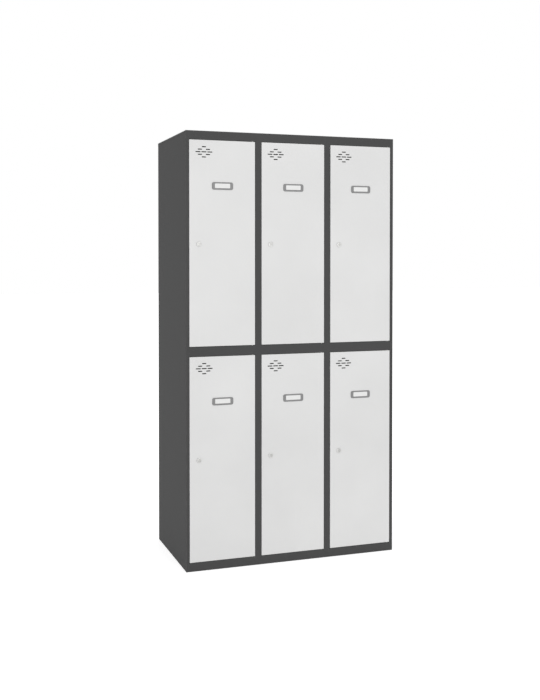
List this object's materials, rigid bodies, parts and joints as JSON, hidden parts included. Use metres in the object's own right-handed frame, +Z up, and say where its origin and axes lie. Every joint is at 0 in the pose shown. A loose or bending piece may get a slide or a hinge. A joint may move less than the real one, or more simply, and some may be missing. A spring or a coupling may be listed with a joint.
{
  "type": "locker",
  "caption": "Free-standing steel clothes locker with side-hinged vented doors in two tiers, each with a card holder, a cam lock and a hanging rail behind it.",
  "frame": {"origin": "on the floor, in the middle of the footprint", "axes": "+Z up, the doors face -Y, +X to the right when facing the doors"},
  "size_m": [0.93, 0.5028, 1.8],
  "materials": {
    "body_paint": "anthracite powder coat, fine texture, low sheen",
    "door_paint": "light grey powder coat, fine texture, low sheen",
    "holder": "moulded mid grey, satin",
    "lock_chrome": "bright nickel plate",
    "zinc": "zinc plate, satin",
    "rail_chrome": "chromed steel tube"
  },
  "bodies": {
    "carcass": {"back_panel": "body_paint", "base_panel": "body_paint", "front_frame": "body_paint", "hanging_rail_a1": "rail_chrome", "hanging_rail_a2": "rail_chrome", "hanging_rail_a3": "rail_chrome", "hanging_rail_b1": "rail_chrome", "hanging_rail_b2": "rail_chrome", "hanging_rail_b3": "rail_chrome", "hinge_pin_bottom_a1": "zinc", "hinge_pin_bottom_a2": "zinc", "hinge_pin_bottom_a3": "zinc", "hinge_pin_bottom_b1": "zinc", "hinge_pin_bottom_b2": "zinc", "hinge_pin_bottom_b3": "zinc", "hinge_pin_top_a1": "zinc", "hinge_pin_top_a2": "zinc", "hinge_pin_top_a3": "zinc", "hinge_pin_top_b1": "zinc", "hinge_pin_top_b2": "zinc", "hinge_pin_top_b3": "zinc", "left_side_panel": "body_paint", "partition_1": "body_paint", "partition_2": "body_paint", "right_side_panel": "body_paint", "shelf_1": "body_paint", "shelf_2": "body_paint", "shelf_3": "body_paint", "top_panel": "body_paint"},
    "leaf_a1": {"door_a1": "door_paint", "door_stiffener_a1": "door_paint", "card_holder_a1": "holder", "lock_housing_a1": "lock_chrome"},
    "lock_a1": {"lock_cam_a1": "zinc"},
    "leaf_a2": {"door_a2": "door_paint", "door_stiffener_a2": "door_paint", "card_holder_a2": "holder", "lock_housing_a2": "lock_chrome"},
    "lock_a2": {"lock_cam_a2": "zinc"},
    "leaf_a3": {"door_a3": "door_paint", "door_stiffener_a3": "door_paint", "card_holder_a3": "holder", "lock_housing_a3": "lock_chrome"},
    "lock_a3": {"lock_cam_a3": "zinc"},
    "leaf_b1": {"door_b1": "door_paint", "door_stiffener_b1": "door_paint", "card_holder_b1": "holder", "lock_housing_b1": "lock_chrome"},
    "lock_b1": {"lock_cam_b1": "zinc"},
    "leaf_b2": {"door_b2": "door_paint", "door_stiffener_b2": "door_paint", "card_holder_b2": "holder", "lock_housing_b2": "lock_chrome"},
    "lock_b2": {"lock_cam_b2": "zinc"},
    "leaf_b3": {"door_b3": "door_paint", "door_stiffener_b3": "door_paint", "card_holder_b3": "holder", "lock_housing_b3": "lock_chrome"},
    "lock_b3": {"lock_cam_b3": "zinc"}
  },
  "joints": [
    {"name": "door_swing_a1", "type": "hinge", "parent": "carcass", "child": "leaf_a1", "pos_m": [-0.1795, -0.2431, 0.921], "axis": [0, 0, 1], "range_deg": [0, 110]},
    {"name": "lock_turn_a1", "type": "hinge", "parent": "leaf_a1", "child": "lock_a1", "pos_m": [-0.4105, -0.2486, 1.339], "axis": [0, 1, 0], "range_deg": [0, 90]},
    {"name": "door_swing_a2", "type": "hinge", "parent": "carcass", "child": "leaf_a2", "pos_m": [0.1305, -0.2431, 0.921], "axis": [0, 0, 1], "range_deg": [0, 110]},
    {"name": "lock_turn_a2", "type": "hinge", "parent": "leaf_a2", "child": "lock_a2", "pos_m": [-0.1005, -0.2486, 1.339], "axis": [0, 1, 0], "range_deg": [0, 90]},
    {"name": "door_swing_a3", "type": "hinge", "parent": "carcass", "child": "leaf_a3", "pos_m": [0.4405, -0.2431, 0.921], "axis": [0, 0, 1], "range_deg": [0, 110]},
    {"name": "lock_turn_a3", "type": "hinge", "parent": "leaf_a3", "child": "lock_a3", "pos_m": [0.2095, -0.2486, 1.339], "axis": [0, 1, 0], "range_deg": [0, 90]},
    {"name": "door_swing_b1", "type": "hinge", "parent": "carcass", "child": "leaf_b1", "pos_m": [-0.1795, -0.2431, 0.037], "axis": [0, 0, 1], "range_deg": [0, 110]},
    {"name": "lock_turn_b1", "type": "hinge", "parent": "leaf_b1", "child": "lock_b1", "pos_m": [-0.4105, -0.2486, 0.455], "axis": [0, 1, 0], "range_deg": [0, 90]},
    {"name": "door_swing_b2", "type": "hinge", "parent": "carcass", "child": "leaf_b2", "pos_m": [0.1305, -0.2431, 0.037], "axis": [0, 0, 1], "range_deg": [0, 110]},
    {"name": "lock_turn_b2", "type": "hinge", "parent": "leaf_b2", "child": "lock_b2", "pos_m": [-0.1005, -0.2486, 0.455], "axis": [0, 1, 0], "range_deg": [0, 90]},
    {"name": "door_swing_b3", "type": "hinge", "parent": "carcass", "child": "leaf_b3", "pos_m": [0.4405, -0.2431, 0.037], "axis": [0, 0, 1], "range_deg": [0, 110]},
    {"name": "lock_turn_b3", "type": "hinge", "parent": "leaf_b3", "child": "lock_b3", "pos_m": [0.2095, -0.2486, 0.455], "axis": [0, 1, 0], "range_deg": [0, 90]}
  ]
}
